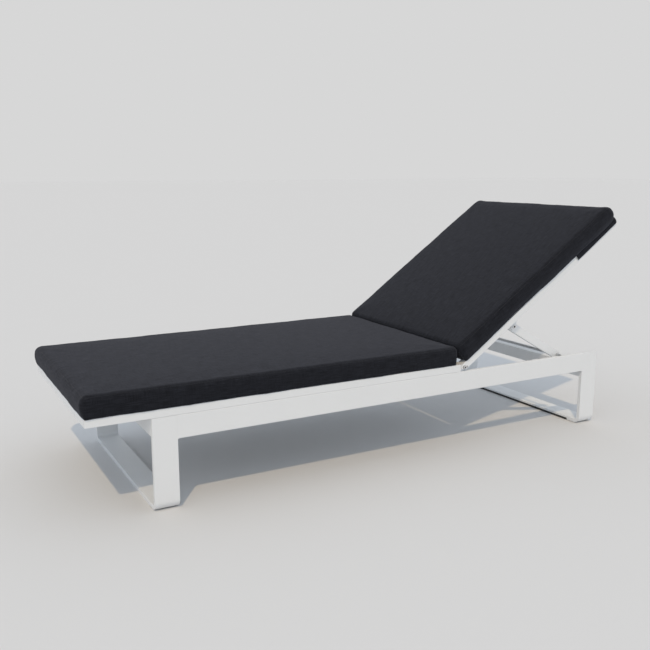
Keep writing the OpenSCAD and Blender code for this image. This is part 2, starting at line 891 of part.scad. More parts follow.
// Prop brackets: an ear welded under each back side bar
module bracket_profile() {
    circle(r = bracket_r);
    polygon([
        [-bracket_foot, prop_drop - tube_h / 2], [-bracket_r, 0],
        [bracket_r, 0], [bracket_foot, prop_drop - tube_h / 2]
    ]);
}

module prop_bracket() {
    color("white") back_axes() translate([prop_along, 0, -prop_drop]) difference() {
        slab(-bracket_y, bracket_t) bracket_profile();
        y_rod(prop_bolt_r + fit_gap, -bracket_y - cut, -bracket_y + bracket_t + cut);
        bracket_rivet_place() y_rod(bracket_rivet_shank_r + fit_gap, -bracket_y - cut, -bracket_y + bracket_t + cut);
    }
}

module bracket_rivet_place() {
    translate([-bracket_rivet_x, 0, bracket_rivet_z]) children();
}

module prop_bracket_left() {
    prop_bracket();
}

module prop_bracket_right() {
    mirror([0, 1, 0]) prop_bracket();
}

module prop_pivot_axes() {
    back_axes() translate([prop_along, 0, -prop_drop]) children();
}

module bracket_rivets() {
    color("gray") prop_pivot_axes() both_sides() bracket_rivet_place() {
        y_rod(bracket_rivet_r, -bracket_y - bracket_rivet_h, -bracket_y);
        y_rod(bracket_rivet_shank_r, -bracket_y - bracket_rivet_h, -bracket_y + bracket_t);
    }
}

module prop_bolt() {
    nut_end = -strut_y + strut_t + slide_gap + nut_h + nut_stickout;
    color("silver") prop_pivot_axes()
        y_bolt(prop_bolt_r, prop_head_r, prop_head_h, -bracket_y, nut_end);
}

module prop_bolt_left() {
    prop_bolt();
}

module prop_bolt_right() {
    mirror([0, 1, 0]) prop_bolt();
}

module prop_spacers() {
    y = -bracket_y + bracket_t;
    color("silver") prop_pivot_axes() both_sides() difference() {
        y_rod(spacer_r, y, y + spacer_l);
        y_rod(prop_bolt_r + fit_gap, y - cut, y + spacer_l + cut);
    }
}

module prop_nuts() {
    color("silver") prop_pivot_axes() both_sides()
        y_nut(prop_nut_r, prop_bolt_r, -strut_y + strut_t + slide_gap);
}

module back_cushion() {
    color("#33363b") back_axes()
        translate([back_cushion_start, 0, tube_h / 2 + slide_gap + back_cushion_t / 2])
        cushion(back_cushion_l, back_cushion_w, back_cushion_t, tuck_in, end_swell);
}

// Hood: a fabric cap round the top end of the back frame, sewn to the back cushion
module cushion_hood() {
    half = base_w / 2 + slide_gap;
    color("#2b2d31") back_axes() difference() {
        translate([hood_x, -half - hood_t, hood_low]) cube([hood_l + hood_t, 2 * (half + hood_t), hood_h]);
        translate([hood_x - cut, -half, hood_low - cut]) cube([hood_l + cut, 2 * half, hood_h + 2 * cut]);
    }
}

// Prop: two struts on one foot rod
module prop_strut() {
    color("white") prop_axes() difference() {
        slab(-strut_y, strut_t) {
            translate([0, -strut_h / 2]) square([strut_len, strut_h]);
            circle(r = strut_h / 2);
            translate([strut_len, 0]) circle(r = strut_h / 2);
        }
        y_rod(prop_bolt_r + run_gap + prop_bush_wall + fit_gap, -strut_y - cut, -strut_y + strut_t + cut);
        translate([strut_len, 0, 0]) y_rod(rod_r + fit_gap, -strut_y - cut, -strut_y + strut_t + cut);
    }
}

module prop_strut_left() {
    prop_strut();
}

module prop_strut_right() {
    mirror([0, 1, 0]) prop_strut();
}

module prop_bushes() {
    color("dimgray") prop_axes() both_sides() difference() {
        y_rod(prop_bolt_r + run_gap + prop_bush_wall, -strut_y, -strut_y + strut_t);
        y_rod(prop_bolt_r + run_gap, -strut_y - cut, -strut_y + strut_t + cut);
    }
}

module prop_foot_rod() {
    color("silver") prop_axes() translate([strut_len, 0, 0]) y_rod(rod_r, -rod_half, rod_half);
}

module rod_collars() {
    y = -strut_y + strut_t;
    color("dimgray") prop_axes() translate([strut_len, 0, 0]) both_sides() difference() {
        y_rod(collar_r, y, y + collar_w);
        y_rod(rod_r + fit_gap, y - cut, y + collar_w + cut);
    }
}

front_hoop();
rear_hoop();
side_rail_left();
side_rail_right();
front_cross_bar();
rear_cross_bar();
front_glide();
rear_glide();
glide_screws();
seat_side_bar_left();
seat_side_bar_right();
seat_foot_bar();
seat_rear_bar();
seat_ledge_left();
seat_ledge_right();
seat_slats();
seat_slat_rivets();
seat_frame_tabs();
seat_frame_bolts();
seat_bar_plugs();
hinge_plate_left();
hinge_plate_right();
hinge_plate_bolts();
pivot_bolt_left();
pivot_bolt_right();
pivot_nuts();
notch_rack_left();
notch_rack_right();
rack_screws();
seat_cushion();
back_side_bar_left();
back_side_bar_right();
back_top_bar();
back_lower_bar();
hinge_tongue_left();
hinge_tongue_right();
tongue_rivets();
pivot_bushes();
back_ledge_left();
back_ledge_right();
back_slats();
back_slat_rivets();
prop_bracket_left();
prop_bracket_right();
bracket_rivets();
prop_bolt_left();
prop_bolt_right();
prop_spacers();
prop_nuts();
back_cushion();
cushion_hood();
prop_strut_left();
prop_strut_right();
prop_bushes();
prop_foot_rod();
rod_collars();
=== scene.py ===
"""Looks of a reclining lounger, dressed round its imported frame.

The frame's own pieces keep their shape and get a powder coat, nylon or steel finish. The two foam cushions
are sewn covers blown up by a cloth simulation, with stitched seams. The back cushion's hood is a hemmed
cloth wall round the head end of the frame. Weld beads join the cross bars and the prop's brackets.
Lengths are in metres, X runs from the foot end to the head end and the near side is at -Y.
"""
import json
import math

import bpy
import numpy as np
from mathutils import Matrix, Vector

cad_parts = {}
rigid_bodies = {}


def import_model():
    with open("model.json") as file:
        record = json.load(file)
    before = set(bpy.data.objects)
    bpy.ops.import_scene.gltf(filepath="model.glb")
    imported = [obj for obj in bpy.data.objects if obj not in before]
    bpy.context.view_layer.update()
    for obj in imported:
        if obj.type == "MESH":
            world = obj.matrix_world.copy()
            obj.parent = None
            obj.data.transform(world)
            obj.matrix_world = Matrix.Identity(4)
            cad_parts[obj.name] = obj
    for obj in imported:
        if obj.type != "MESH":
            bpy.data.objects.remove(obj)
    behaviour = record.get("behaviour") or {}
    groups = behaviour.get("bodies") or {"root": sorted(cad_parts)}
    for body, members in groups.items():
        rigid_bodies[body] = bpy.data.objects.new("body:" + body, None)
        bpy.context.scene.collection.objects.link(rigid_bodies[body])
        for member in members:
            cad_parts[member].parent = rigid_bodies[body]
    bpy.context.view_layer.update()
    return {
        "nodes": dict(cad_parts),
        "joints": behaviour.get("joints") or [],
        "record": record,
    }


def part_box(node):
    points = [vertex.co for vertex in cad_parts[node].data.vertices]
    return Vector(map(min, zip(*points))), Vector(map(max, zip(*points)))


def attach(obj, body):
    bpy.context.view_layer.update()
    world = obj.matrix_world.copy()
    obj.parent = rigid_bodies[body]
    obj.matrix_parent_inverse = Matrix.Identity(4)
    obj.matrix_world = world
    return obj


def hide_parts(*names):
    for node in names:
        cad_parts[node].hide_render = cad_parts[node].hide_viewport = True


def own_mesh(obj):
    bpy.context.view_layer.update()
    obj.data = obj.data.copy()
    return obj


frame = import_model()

MM = 0.001

# Places and directions

joint_at = {joint["name"]: np.array(joint["pos_m"], float) for joint in frame["joints"]}
PIVOT, PROP_PIVOT = joint_at["recline"], joint_at["prop_swing"]
BACK_SLOPE = math.radians(34.35)
TUBE_H = 25 * MM
FRAME_HALF = 350 * MM


def lean_back(vectors):
    """Vectors given as (along the back, across, square to the back), turned into the row frame."""
    along, across, square = np.moveaxis(np.asarray(vectors, float), -1, 0)
    c, s = math.cos(BACK_SLOPE), math.sin(BACK_SLOPE)
    return np.stack([along * c - square * s, across, along * s + square * c], axis=-1)


def back_to_row(points):
    """Points given in the same three directions from the back's pivot, moved into the row frame."""
    return lean_back(points) + PIVOT


BACK_NORMAL = lean_back((0.0, 0.0, 1.0))

# Node helpers


class Nodes:
    """The node tree of a material or a world, built one node at a time."""

    def __init__(self, owner):
        owner.use_nodes = True
        self.tree = owner.node_tree

    def add(self, kind, inputs=(), **values):
        """A node of that kind, with attributes from values and inputs linked or set by name or number."""
        node = self.tree.nodes.new(kind)
        for key, value in values.items():
            setattr(node, key, value)
        for key, value in dict(inputs).items():
            self.put(node.inputs[key], value)
        return node

    def put(self, socket, value):
        """A socket is linked to an output, or set to a plain value."""
        if isinstance(value, bpy.types.NodeSocket):
            self.tree.links.new(value, socket)
        else:
            socket.default_value = value

    def math(self, operation, a, b=0.0, c=0.0):
        return self.add("ShaderNodeMath", {0: a, 1: b, 2: c}, operation=operation).outputs[0]


class Shader(Nodes):
    """A piece's material. where is the place on the piece, in the row frame."""

    def __init__(self, name):
        self.material = bpy.data.materials.new(name)
        super().__init__(self.material)
        self.surface = self.tree.nodes["Principled BSDF"]
        self.where = self.add("ShaderNodeTexCoord").outputs["Object"]

    def mix(self, share, a, b, blend="MIX"):
        node = self.add("ShaderNodeMix", {0: share, 6: a, 7: b}, data_type="RGBA", blend_type=blend)
        return node.outputs[2]

    def noise(self, where, scale, detail=3.0, rough=0.5):
        node = self.add("ShaderNodeTexNoise",
                        {"Vector": where, "Scale": scale, "Detail": detail, "Roughness": rough})
        return node.outputs["Fac"]

    def scaled(self, where, scale, turn=(0.0, 0.0, 0.0)):
        return self.add("ShaderNodeMapping",
                        {"Vector": where, "Scale": scale, "Rotation": turn}).outputs[0]

    def ramp(self, value, low, high, out_low=0.0, out_high=1.0):
        """A value that runs from low to high is made to run from out_low to out_high, and no further."""
        node = self.add("ShaderNodeMapRange", {0: value, 1: low, 2: high, 3: out_low, 4: out_high})
        return node.outputs[0]

    def rounded(self, radius):
        """The normal of a surface whose edges are rounded to that radius."""
        return self.add("ShaderNodeBevel", {"Radius": radius}, samples=6).outputs[0]

    def bump(self, height, distance, strength=1.0, normal=None):
        inputs = {"Height": height, "Distance": distance, "Strength": strength}
        if normal is not None:
            inputs["Normal"] = normal
        return self.add("ShaderNodeBump", inputs).outputs[0]

    def finish(self, **inputs):
        """The surface's inputs are set by name, with an underscore for each space."""
        for key, value in inputs.items():
            self.put(self.surface.inputs[key.replace("_", " ")], value)
        return self.material


def shade(colour, share=1.0):
    """A linear grey or colour, times a share, as RGBA."""
    rgb = (colour,) * 3 if isinstance(colour, float) else colour
    return (*(min(1.0, share * c) for c in rgb), 1.0)


# Finishes

POWDER_WHITE = (0.785, 0.80, 0.81)
SLAT_WHITE = tuple(0.97 * c for c in POWDER_WHITE)
ZINC_GREY = (0.56, 0.57, 0.58)
BRIGHT_STEEL = (0.80, 0.80, 0.81)
WORN_SHARE = 0.85
# painted shade: the near black colour put in the bolts' drive sockets
SOCKET_PAINTED_SHADE = 0.02
PIVOT_SOCKET_R = 2.8 * MM
PROP_SOCKET_R = 3.64 * MM
CLOTH_WARP, CLOTH_WEFT = (0.0086, 0.0094, 0.0122), (0.0128, 0.0138, 0.0178)
# painted sheen: colour added where the cloth is seen along its surface
CLOTH_PAINTED_SHEEN = (0.0484, 0.0499, 0.0590)
THREAD_PITCH = 1.3 * MM
SLUB_ALONG, SLUB_ACROSS = 24.0, 330.0


def powder_coat(name, colour, peel=1.0):
    """Powder coat: a faint orange peel over rounded edges, with slightly uneven gloss and shade."""
    s = Shader(name)
    cloud, gloss = s.noise(s.where, 6.0, 4.0), s.noise(s.where, 35.0)
    return s.finish(
        Base_Color=s.mix(cloud, shade(colour, 0.97), shade(colour, 1.02)),
        Roughness=s.ramp(gloss, 0.3, 0.7, 0.38, 0.5),
        Specular_IOR_Level=0.4,
        Normal=s.bump(s.noise(s.where, 420.0, 2.0), 0.03 * MM, 0.5 * peel, s.rounded(1.0 * MM)),
    )


def moulded_nylon(name, colour, scuffed):
    """Nylon: a fine spark-eroded grain with scuffs of another shade."""
    s = Shader(name)
    grain = s.noise(s.where, 1400.0, 2.0)
    scuff = s.ramp(s.noise(s.scaled(s.where, (20.0, 120.0, 60.0)), 3.0, 5.0), 0.58, 0.75)
    return s.finish(
        Base_Color=s.mix(scuff, shade(colour), shade(scuffed)),
        Roughness=s.ramp(grain, 0.2, 0.8, 0.5, 0.72),
        Normal=s.bump(grain, 0.05 * MM, 0.6),
    )


def plated_steel(name, colour, roughness):
    """Turned and plated steel: fine tool rings across Y and a slightly uneven plate."""
    s = Shader(name)
    rings = s.noise(s.scaled(s.where, (200.0, 2600.0, 200.0)), 1.0, 2.0)
    cloud = s.noise(s.where, 160.0, 4.0)
    return s.finish(
        Base_Color=s.mix(cloud, shade(colour, WORN_SHARE), shade(colour)),
        Metallic=1.0,
        Roughness=s.ramp(rings, 0.3, 0.7, roughness - 0.06, roughness + 0.08),
        Normal=s.bump(rings, 0.02 * MM, 0.4, s.rounded(0.3 * MM)),
    )


def socketed_steel(name, colour, roughness, sockets):
    """Bright steel bolts, with painted shade over the drive socket round each (x, z, radius) in the plane of
    the side.
    """
    s = Shader(name)
    side = s.add("ShaderNodeVectorMath", {0: s.where, 1: (1.0, 0.0, 1.0)}, operation="MULTIPLY").outputs[0]
    # inside marks the sockets, which get painted shade: near black, less metallic and rougher
    inside = 0.0
    for x, z, radius in sockets:
        away = s.add("ShaderNodeVectorMath", {0: side, 1: (x, 0.0, z)}, operation="DISTANCE")
        inside = s.math("MAXIMUM", s.math("LESS_THAN", away.outputs["Value"], radius), inside)
    cloud = s.noise(s.where, 160.0, 4.0)
    bright = s.mix(cloud, shade(colour, WORN_SHARE), shade(colour))
    return s.finish(
        Base_Color=s.mix(inside, bright, shade(SOCKET_PAINTED_SHADE)),
        Metallic=s.math("SUBTRACT", 0.9, s.math("MULTIPLY", inside, 0.6)),
        Roughness=s.ramp(inside, 0.0, 1.0, roughness, 0.7),
        Normal=s.bump(cloud, 0.01 * MM, 0.3, s.rounded(0.4 * MM)),
    )


def woven_cloth(name):
    """Plain weave on the cover's own UV map, in metres.

    With u and v the place on the cloth in thread pitches, a little unsteady, a warp thread is up where
    sin(pi u) sin(pi v) is positive and a weft thread elsewhere. Each is as high as the sine across it.
    Slubs are noise drawn out along the threads. A painted sheen makes the cloth paler where it is seen along
    the
    surface: it adds CLOTH_PAINTED_SHEEN times (1 - cosine of the viewing angle) squared, as uneven as the
    slubs.
    """
    s = Shader(name)
    cloth = s.add("ShaderNodeUVMap", uv_map="cloth").outputs[0]
    axes = s.add("ShaderNodeSeparateXYZ", {0: cloth}).outputs
    wobble = s.math("MULTIPLY", s.noise(cloth, 40.0, 2.0), 0.35)
    u, v = (s.math("MULTIPLY_ADD", axis, math.pi / THREAD_PITCH, wobble) for axis in axes[:2])
    across_warp, across_weft = s.math("SINE", u), s.math("SINE", v)
    warp_up = s.math("GREATER_THAN", s.math("MULTIPLY", across_warp, across_weft), 0.0)
    warp_height, weft_height = s.math("ABSOLUTE", across_warp), s.math("ABSOLUTE", across_weft)
    height = s.math("MULTIPLY_ADD", s.math("SUBTRACT", warp_height, weft_height), warp_up, weft_height)
    slub_long = s.noise(s.scaled(cloth, (SLUB_ALONG, SLUB_ACROSS, 1.0)), 1.0, 3.0, 0.6)
    slub_cross = s.noise(s.scaled(cloth, (SLUB_ACROSS, SLUB_ALONG, 1.0)), 1.0, 3.0, 0.6)
    heather = s.math("ADD", s.math("MULTIPLY", slub_long, 0.65), s.math("MULTIPLY", slub_cross, 0.35))
    threads = s.mix(warp_up, shade(CLOTH_WEFT), shade(CLOTH_WARP))
    streaked = s.mix(s.ramp(heather, 0.4, 0.66, 0.0, 0.85), threads, shade(CLOTH_WEFT, 1.9))
    shadowed = s.mix(s.ramp(height, 0.0, 0.45, 0.55, 0.0), streaked, shade(CLOTH_WARP, 0.35))
    # painted sheen: a paler colour added where the cloth is seen at a grazing angle
    facing = s.add("ShaderNodeLayerWeight", {"Blend": 0.5}).outputs["Facing"]
    painted_sheen = s.math("MULTIPLY", s.math("POWER", facing, 2.0), s.ramp(heather, 0.3, 0.7, 0.72, 1.28))
    slack = s.bump(s.noise(s.where, 24.0), 0.8 * MM, 0.3)
    return s.finish(
        Base_Color=s.mix(painted_sheen, shadowed, shade(CLOTH_PAINTED_SHEEN), "ADD"),
        Roughness=0.9,
        Specular_IOR_Level=0.08,
        Normal=s.bump(height, 0.16 * MM, 0.35, slack),
    )


def sewing_thread(name):
    """Twisted thread: a fine diagonal wave over a dark, slightly glossy grey."""
    s = Shader(name)
    twist = s.noise(s.scaled(s.where, (900.0, 900.0, 2400.0), (0.6, 0.0, 0.6)), 1.0, 1.0)
    return s.finish(
        Base_Color=s.mix(twist, shade((0.010, 0.011, 0.014)), shade((0.026, 0.029, 0.036))),
        Roughness=0.55,
        Normal=s.bump(twist, 0.05 * MM, 0.5),
    )


weld_white = powder_coat("powder_white_weld", POWDER_WHITE, 2.5)
seat_cloth = woven_cloth("seat_cloth")
back_cloth = woven_cloth("back_cloth")
thread = sewing_thread("dark_thread")
SOCKETS = [(PIVOT[0], PIVOT[2], PIVOT_SOCKET_R), (PROP_PIVOT[0], PROP_PIVOT[2], PROP_SOCKET_R)]

SLOT_FINISH = {
    "frame": powder_coat("powder_white", POWDER_WHITE),
    "slats": powder_coat("powder_white_slat", SLAT_WHITE, 1.4),
    "nylon": moulded_nylon("black_nylon", (0.012, 0.012, 0.013), (0.035, 0.035, 0.037)),
    "white_nylon": moulded_nylon("white_nylon", (0.74, 0.75, 0.76), (0.62, 0.63, 0.64)),
    "fasteners": plated_steel("zinc_plated_steel", ZINC_GREY, 0.34),
    "bolts": socketed_steel("bright_bolt_steel", BRIGHT_STEEL, 0.3, SOCKETS),
    "seat_fabric": seat_cloth,
    "back_fabric": back_cloth,
}
for part in frame["record"]["subparts"]:
    mesh = frame["nodes"][part["node"]].data
    mesh.materials.clear()
    mesh.materials.append(SLOT_FINISH[part["material_slot"]])

# Mesh helpers


def stand(name, data):
    """A new object in the scene."""
    obj = bpy.data.objects.new(name, data)
    bpy.context.scene.collection.objects.link(obj)
    return obj


def piece(name, points, faces, body, material, uv=None):
    """A new smooth piece that rides on a body, from points and quads. uv has one row per face corner."""
    mesh = bpy.data.meshes.new(name)
    mesh.from_pydata(np.asarray(points, float).tolist(), [], np.asarray(faces, int).tolist())
    if uv is not None:
        layer = mesh.uv_layers.new(name="cloth")
        layer.data.foreach_set("uv", np.asarray(uv, np.float32).ravel())
    mesh.polygons.foreach_set("use_smooth", [True] * len(mesh.polygons))
    mesh.materials.append(material)
    obj = stand(name, mesh)
    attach(obj, body)
    return obj


def grid_quads(rows, columns, closed=False):
    """Quads of a grid of points numbered row by row. In a closed one each row's end joins its start."""
    r, c = np.arange(rows - 1), np.arange(columns if closed else columns - 1)
    r, c = (a.ravel() for a in np.meshgrid(r * columns, c, indexing="ij"))
    beside = (c + 1) % columns
    return np.stack([r + c, r + columns + c, r + columns + beside, r + beside], axis=-1)


def tube_quads(rings, sides):
    """Quads of a tube with flat ends. They face outwards if its rings turn right-handed about the way ahead.

    An end of n sides is cut into n / 2 - 1 strips between the points i, i + 1, n - 2 - i and n - 1 - i.
    """
    i = np.arange(sides // 2 - 1)
    cap = np.stack([i, i + 1, sides - 2 - i, sides - 1 - i], axis=-1)
    wall = grid_quads(rings, sides, closed=True)
    return np.concatenate([wall[:, ::-1], cap[:, ::-1], cap + sides * (rings - 1)])


def unit(v):
    return v / np.maximum(np.linalg.norm(v, axis=-1, keepdims=True), 1e-12)


def distance_along(line):
    """Distance of each point of a line from the first, along the line."""
    return np.concatenate([[0.0], np.cumsum(np.linalg.norm(np.diff(line, axis=0), axis=-1))])


def final_points(obj, count):
    """Places of a piece's first points after its modifiers."""
    result = obj.evaluated_get(bpy.context.evaluated_depsgraph_get()).to_mesh()
    co = np.empty(len(result.vertices) * 3, np.float32)
    result.vertices.foreach_get("co", co)
    return co.reshape(-1, 3)[:count].astype(float)


def waves(along, lengths, rng):
    """Sines of the given wave lengths, each with a random phase and as high as the root of its length."""
    return sum(
        math.sqrt(length / lengths[0]) * np.sin(2 * math.pi * along / length + rng.uniform(0, 2 * math.pi))
        for length in lengths
    )


# Cushion covers

EDGE_R = 17 * MM
RIM_TURNS = np.radians([13.0, 26.0, 38.0, 45.0])
LOW_EDGE_SHARE = 0.3
LOW_EDGE_POWER = 0.8
LOW_EDGE_REACH = 40 * MM
SIDE_BELLY = 2.5 * MM
SAG = 2.2 * MM
SAG_FROM_FRAME = 3 * MM
SAG_HEIGHT = 3 * SAG
LOW_SEAM, TOP_SEAM = 0, -1
END_WAVE_SHIFT = 7.0
SEAM_WAVE_SHIFT = 3.0


class Form:
    """What sets a cushion's shape, in metres.

    along is row X on the seat, and on the back the distance from its pivot. A profile is rows of
    (along, value).
    start and end are the cushion's ends, half is its half width at mid height, tuck is how far the side
    leans in at the bottom, thick is the thickness at the edges, crown is how much higher the middle is, and
    each of the two swells is an end's bulge at mid height with the share of it that is left at the bottom.
    frame_end is where the frame ends under the cushion's start, if it does.
    """

    def __init__(self, start, end, half, tuck, thick, crown, swells, frame_end=-math.inf):
        self.start, self.end, self.half = start, end, np.array(half)
        self.tuck, self.thick, self.crown, self.swells = np.array(tuck), np.array(thick), crown, swells
        self.frame_end = frame_end


def value_at(profile, along):
    return np.interp(along, profile[:, 0], profile[:, 1])


def grid_lines(half, step):
    """Places of the grid lines across a block: even steps over the flat, and turns round each edge."""
    flat = half - EDGE_R
    even = np.linspace(-flat, flat, max(2, round(2 * flat / step) + 1))
    rim = flat + EDGE_R * np.tan(RIM_TURNS)
    return np.concatenate([-rim[::-1], even, rim])


class Cover:
    """A cushion's sewn cover on the surface of a grid block, drawn to a form.

    Each grid point is first moved to lie EDGE_R outside the block that is EDGE_R smaller all round.
    For each point, index is its place in the grid, block its place on the sharp block, and normal its way
    outwards.
    """

    def __init__(self, form, step):
        self.form = form
        width, thickness = 2 * form.half[:, 1].max(), form.thick[:, 1].max()
        self.half = np.array([form.end - form.start, width, thickness]) / 2
        lines = [grid_lines(half, step) for half in self.half]
        count = np.array([len(line) for line in lines])
        index = np.stack(np.meshgrid(*[np.arange(n) for n in count], indexing="ij"), axis=-1)
        skin = ((index == 0) | (index == count - 1)).any(axis=-1)
        self.ids = np.full(count, -1)
        self.ids[skin] = np.arange(skin.sum())
        self.index = index[skin]
        self.block = np.stack([line[self.index[:, axis]] for axis, line in enumerate(lines)], axis=-1)
        inner = np.clip(self.block, EDGE_R - self.half, self.half - EDGE_R)
        self.normal = unit(self.block - inner)
        self.shape = self.drawn(inner + self.normal * EDGE_R)
        self.faces, self.uv = self.panels()

    def drawn(self, p):
        """The rounded block drawn to the form, with its underside at height 0 and its foot end at start.

        With f the turn of the bottom rounding, each lower edge moves out by (1 - LOW_EDGE_SHARE) EDGE_R
        (1 - cos f) and its height z becomes z (z / EDGE_R)^LOW_EDGE_POWER, so that it is sharper than the
        top one, and the underside follows with a fall-off.
        With w from -1 at the bottom to 1 at the top, the side leans in by tuck w^2 below and by
        SIDE_BELLY w^2 above. The crown falls off with the fourth power along and the square across. An end
        bulges by swell (1 - w^2) and keeps its share of that at the bottom.
        """
        form, half = self.form, self.half
        u, v, w = (p / half).T
        below, above = np.clip(-w, 0, 1), np.clip(w, 0, 1)
        turned = 1 - np.sqrt(1 - np.clip(-self.normal[:, 2], 0, 1) ** 2)
        from_edge = np.clip(half[:2] - EDGE_R - np.abs(p[:, :2]), 0, None)
        push = ((1 - LOW_EDGE_SHARE) * EDGE_R * turned)[:, None] * np.exp(-from_edge / LOW_EDGE_REACH)
        along, y = (p[:, :2] + np.sign(p[:, :2]) * push).T
        along = along + half[0] + form.start
        lean = value_at(form.tuck, along) * below ** 2 + SIDE_BELLY * above ** 2
        across = y * (value_at(form.half, along) - lean) / half[1]
        z = p[:, 2] + half[2]
        z = z * np.clip(z / EDGE_R, 0, 1) ** LOW_EDGE_POWER
        height = z * value_at(form.thick, along) / (2 * half[2])
        height = height + form.crown * (1 - u ** 4) * (1 - v ** 2) * above
        for side, (swell, kept) in zip((-1, 1), form.swells):
            near = np.clip((side * p[:, 0] - half[0] + 2 * EDGE_R) / (2 * EDGE_R), 0, 1)
            along = along + side * swell * near * (1 - above ** 2 - (1 - kept) * below ** 2)
        return np.stack([along, across, height], axis=-1)

    def lowest(self, points):
        """Lowest height of each point: it sags by up to SAG where it hangs over the frame's edge."""
        over = np.maximum(np.abs(points[:, 1]) - FRAME_HALF, self.form.frame_end - points[:, 0])
        return -SAG * np.clip(over / SAG_FROM_FRAME, 0, 1)

    def panels(self):
        """Quads that face outwards, and each corner's place on its own panel, in metres."""
        faces, uv = [], []
        for axis in range(3):
            in_panel = [other for other in range(3) if other != axis]
            for side in (0, -1):
                sheet = np.take(self.ids, side, axis=axis)
                quads = np.stack([sheet[:-1, :-1], sheet[1:, :-1], sheet[1:, 1:], sheet[:-1, 1:]], axis=-1)
                quads = quads.reshape(-1, 4)
                if (side == 0) != (axis == 1):
                    quads = quads[:, ::-1]
                faces.append(quads)
                uv.append(self.block[quads][..., in_panel].reshape(-1, 2))
        return np.concatenate(faces), np.concatenate(uv)

    def ring(self, seam):
        """Numbers of the points round the cover at one of its two seams, in order."""
        sheet = self.ids[:, :, seam]
        return np.concatenate([sheet[:-1, 0], sheet[-1, :-1], sheet[:0:-1, -1], sheet[0, :0:-1]])

    def seam_distance(self):
        """Distance of each point from the nearer sewn edge, and its place along that edge.

        The ends and the two seams are counted from far apart, so that their waves differ.
        """
        x_in, y_in, z_in = (self.half - np.abs(self.block)).T
        in_plan = np.minimum(x_in, y_in)
        away = np.where(z_in > in_plan - 1e-9, z_in, in_plan)
        along = np.where(x_in < y_in, self.block[:, 1] + END_WAVE_SHIFT, self.block[:, 0])
        return away, along + SEAM_WAVE_SHIFT * np.sign(self.block[:, 2])


# Cushions

CUSHION_LIFT = 0.3 * MM
SEAT_CUSHION_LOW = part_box("seat_cushion")[0][2]
PUFF_FRAMES = 20
PUFF_LIMIT = 2.5 * MM
SEAM_DEPTHS = {LOW_SEAM: 0.7 * MM, TOP_SEAM: 0.25 * MM}
PUCKER, PUCKER_REACH = 0.2 * MM, 20 * MM
PUCKER_WAVES = [34 * MM, 21 * MM, 13.7 * MM, 58 * MM]
SLACK, SLACK_REACH = 0.4 * MM, 60 * MM
SLACK_WAVES = [310 * MM, 190 * MM, 127 * MM]


def puff(obj, start, held):
    """Cloth with pressure inside and no weight, run for PUFF_FRAMES and applied.

    Each point then moves by d * limit / (limit + |d|), so that none goes further than the limit.
    """
    scene = bpy.context.scene
    group = obj.vertex_groups.new(name="held")
    group.add([int(i) for i in np.flatnonzero(held)], 1.0, "REPLACE")
    cloth = obj.modifiers.new("cover", "CLOTH")
    settings = cloth.settings
    settings.quality = 5
    settings.mass = 0.25
    settings.tension_stiffness = settings.compression_stiffness = 30
    settings.shear_stiffness = 8
    settings.bending_stiffness = 0.6
    settings.use_pressure = True
    settings.uniform_pressure_force = 4
    settings.effector_weights.gravity = 0
    settings.vertex_group_mass = "held"
    settings.pin_stiffness = 1
    cloth.collision_settings.use_collision = False
    for number in range(1, PUFF_FRAMES + 1):
        scene.frame_set(number)
    d = final_points(obj, len(start)) - start
    obj.modifiers.remove(cloth)
    obj.vertex_groups.remove(group)
    scene.frame_set(1)
    length = np.linalg.norm(d, axis=-1, keepdims=True)
    return start + d * PUFF_LIMIT / (PUFF_LIMIT + length)


def boxed_as(points, shape):
    """Points stretched so that they fill the same box as a shape."""
    lo, hi = shape.min(axis=0), shape.max(axis=0)
    now_lo, now_hi = points.min(axis=0), points.max(axis=0)
    return lo + (points - now_lo) * (hi - lo) / (now_hi - now_lo)


def cushion(name, form, step, place, body, material, seed):
    """A cushion: the cover is puffed up, then gathered along its seams, and stands where place puts it."""
    rng = np.random.default_rng(seed)
    cover = Cover(form, step)
    obj = piece(name, cover.shape, cover.faces, body, material, cover.uv)
    points = cover.shape
    resting = (cover.index[:, 2] == 0) & (cover.normal[:, 2] < -0.99)
    points = boxed_as(puff(obj, points, resting), cover.shape)
    away, along = cover.seam_distance()
    gather = PUCKER * waves(along, PUCKER_WAVES, rng) * np.exp(-away / PUCKER_REACH)
    slack = SLACK * waves(along, SLACK_WAVES, rng) * np.exp(-away / SLACK_REACH)
    points = points + cover.normal * (gather + slack)[:, None]
    for seam, depth in SEAM_DEPTHS.items():
        ring = cover.ring(seam)
        points[ring] -= cover.normal[ring] * depth
    low = np.clip(1 - points[:, 2] / SAG_HEIGHT, 0, 1)
    points[:, 2] = np.maximum(points[:, 2], 0.0) + cover.lowest(points) * low
    points = place(points)
    obj.data.vertices.foreach_set("co", points.astype(np.float32).ravel())
    obj.data.update()
    smooth = obj.modifiers.new("smooth", "SUBSURF")
    smooth.levels = smooth.render_levels = 1
    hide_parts(name.replace("_pad", "_cushion"))
    return obj, cover


def on_seat(points):
    """Places on the seat, with the height over the cushion's lower face, to the row frame."""
    return points + np.array([0.0, 0.0, SEAT_CUSHION_LOW])


def on_back(points):
    """Places along the back, with the height over the cushion's lower face, to the row frame."""
    return back_to_row(points + np.array([0.0, 0.0, TUBE_H / 2 + CUSHION_LIFT]))


